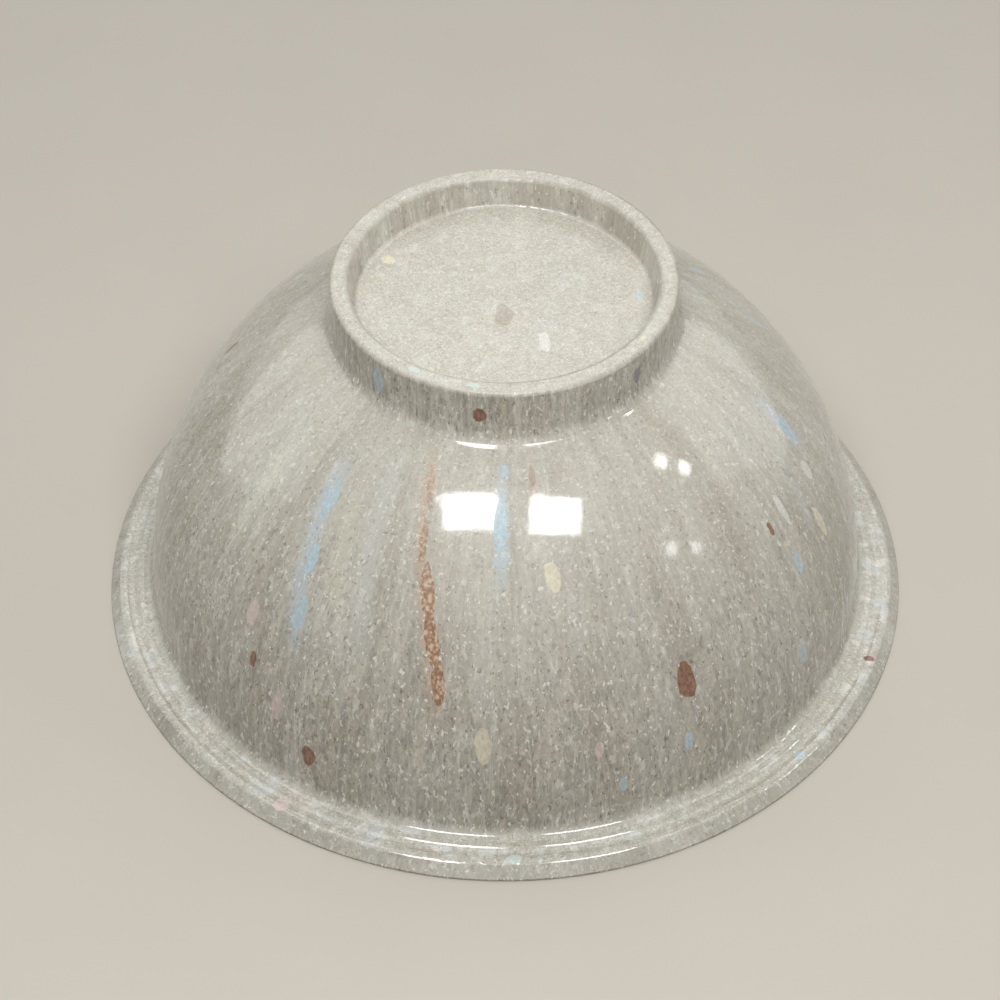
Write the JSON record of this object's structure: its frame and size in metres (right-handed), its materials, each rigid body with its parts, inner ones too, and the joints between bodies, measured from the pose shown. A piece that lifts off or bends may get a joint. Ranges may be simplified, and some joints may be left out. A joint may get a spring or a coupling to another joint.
{
  "type": "mixing bowl",
  "caption": "Speckled melamine mixing bowl, stored mouth down, with a flared lip, a round wall, a foot ring and coloured chips moulded flush with its surface.",
  "frame": {"origin": "middle of the mouth, on the plane of the lip that the bowl rests on as pictured", "axes": "+Z along the bowl's axis, from the mouth towards the foot ring; +X to the right in the picture and -Y towards its camera"},
  "size_m": [0.254, 0.254, 0.1207],
  "materials": {
    "melamine": "glossy, with fine flecks drawn out along the flow",
    "blue_chip": "glossy",
    "rust_chip": "glossy",
    "cream_chip": "glossy",
    "white_chip": "glossy",
    "pink_chip": "glossy",
    "violet_chip": "glossy",
    "mint_chip": "glossy"
  },
  "bodies": {
    "root": {"bowl_body": "melamine", "blue_chips": "blue_chip", "rust_chips": "rust_chip", "cream_chips": "cream_chip", "white_chips": "white_chip", "pink_chips": "pink_chip", "violet_chips": "violet_chip", "mint_chips": "mint_chip"}
  },
  "joints": []
}
